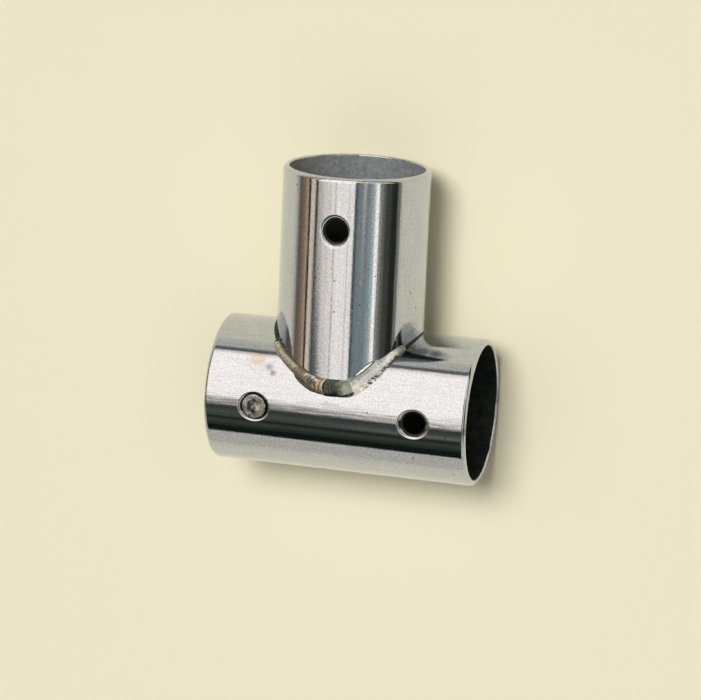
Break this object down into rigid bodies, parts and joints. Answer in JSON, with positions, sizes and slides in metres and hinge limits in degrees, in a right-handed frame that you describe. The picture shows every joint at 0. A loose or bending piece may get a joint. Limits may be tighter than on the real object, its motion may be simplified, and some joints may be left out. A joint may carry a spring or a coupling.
{
  "type": "right angle tube connector",
  "caption": "Welded tee connector that joins rail tubes at a right angle, with tapped holes for set screws near its open ends.",
  "frame": {"origin": "where the axes of the run tube and the branch tube cross", "axes": "+X along the run tube to its end without a screw, +Y along the branch tube to its open end, +Z the side that the set screws go in from"},
  "size_m": [0.051, 0.059, 0.0298],
  "materials": {
    "tube_steel": "mirror-polished stainless steel",
    "weld_metal": "as-welded, rippled",
    "screw_steel": "dull stainless steel"
  },
  "bodies": {
    "root": {"run_tube": "tube_steel", "branch_tube": "tube_steel", "weld_bead": "weld_metal", "set_screw": "screw_steel"}
  },
  "joints": []
}
